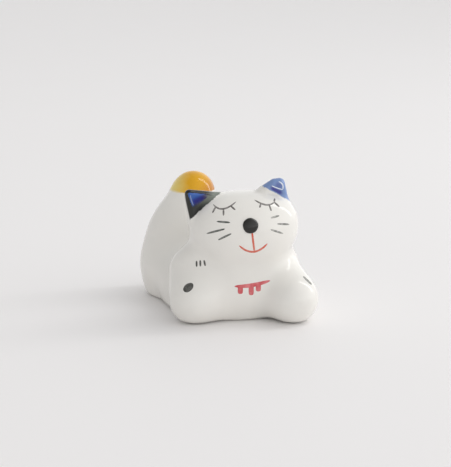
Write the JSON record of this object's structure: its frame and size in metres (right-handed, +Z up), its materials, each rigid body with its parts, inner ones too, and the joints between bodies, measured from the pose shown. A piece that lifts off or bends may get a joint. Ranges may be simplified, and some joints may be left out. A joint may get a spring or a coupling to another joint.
{
  "type": "chopstick rest",
  "caption": "Glazed porcelain chopstick rest shaped as a lying cat; the chopsticks' tips lie across the saddle between its head and its raised rump.",
  "frame": {"origin": "on the flat foot, under the belly, in the middle plane of the head and forelegs", "axes": "+Z up out of the foot, -Y the way the face looks, +X to the cat's left"},
  "size_m": [0.0388, 0.0502, 0.0353],
  "materials": {
    "white_porcelain": "clear gloss glaze over white porcelain",
    "amber_glaze": "pooled gloss glaze",
    "cobalt_glaze": "pooled gloss glaze",
    "charcoal_glaze": "brushed gloss glaze",
    "grey_line_glaze": "fine brushed line",
    "red_line_glaze": "fine brushed line"
  },
  "bodies": {
    "root": {"body": "white_porcelain", "head": "white_porcelain", "right_foreleg": "white_porcelain", "left_foreleg": "white_porcelain", "tail": "white_porcelain", "right_ear": "white_porcelain", "left_ear": "white_porcelain", "tail_tip_glaze": "amber_glaze", "right_ear_rim_glaze": "charcoal_glaze", "right_ear_blue_glaze": "cobalt_glaze", "left_ear_blue_glaze": "cobalt_glaze", "nose": "charcoal_glaze", "right_eyelid": "grey_line_glaze", "left_eyelid": "grey_line_glaze", "mouth": "red_line_glaze", "right_whisker_upper": "grey_line_glaze", "right_whisker_middle": "grey_line_glaze", "right_whisker_lower": "grey_line_glaze", "left_whisker_upper": "grey_line_glaze", "left_whisker_middle": "grey_line_glaze", "left_whisker_lower": "grey_line_glaze", "bib": "red_line_glaze", "right_leg_stripes": "grey_line_glaze", "right_leg_spot": "charcoal_glaze", "left_leg_stripe": "grey_line_glaze"}
  },
  "joints": []
}
